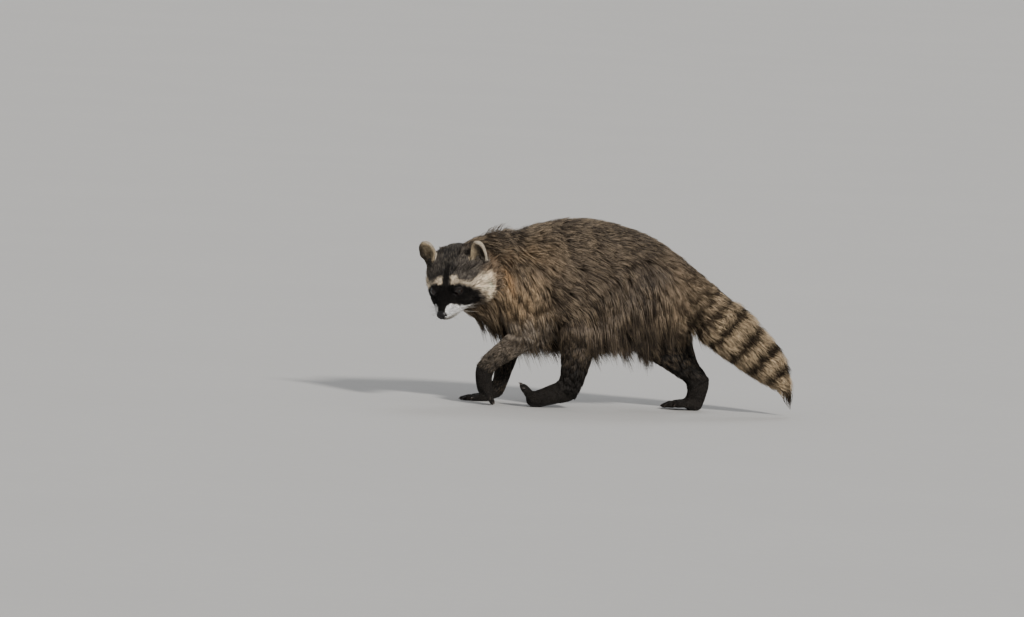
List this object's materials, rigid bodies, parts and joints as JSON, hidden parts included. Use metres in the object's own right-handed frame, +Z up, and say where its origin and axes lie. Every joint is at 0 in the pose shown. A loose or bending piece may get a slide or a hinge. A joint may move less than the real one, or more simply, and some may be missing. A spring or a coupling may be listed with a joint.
{
  "type": "raccoon",
  "caption": "Walking raccoon, life size: head turned to its left and lowered, left forepaw swinging, ringed tail trailing low.",
  "frame": {"origin": "on the floor under the middle of the whole, half way along its length and its width", "axes": "-X the way the animal walks, +X towards the tail; -Y its left side, +Y its right side; +Z up"},
  "size_m": [0.6674, 0.208, 0.3311],
  "materials": {
    "body_coat": "long grizzled coat, pale-tipped over dark",
    "head_coat": "short coat with black mask and cream brow, cheek and muzzle",
    "tail_coat": "dense coat with dark rings and a black tip",
    "leg_coat": "short dark coat",
    "ear": "short pale coat with pale rims",
    "eye": "wet, glossy, near black",
    "nose": "damp, finely pebbled"
  },
  "bodies": {
    "root": {"head": "head_coat", "nose": "nose", "eye_left": "eye", "eye_right": "eye", "ear_left": "ear", "ear_right": "ear", "neck": "body_coat", "trunk": "body_coat", "tail_base": "tail_coat", "tail_middle": "tail_coat", "tail_end": "tail_coat", "left_upper_arm": "body_coat", "left_forearm": "leg_coat", "left_forepaw": "leg_coat", "left_thigh": "body_coat", "left_shank": "leg_coat", "left_hindfoot": "leg_coat", "right_upper_arm": "body_coat", "right_forearm": "leg_coat", "right_forepaw": "leg_coat", "right_thigh": "body_coat", "right_shank": "leg_coat", "right_hindfoot": "leg_coat"}
  },
  "joints": []
}
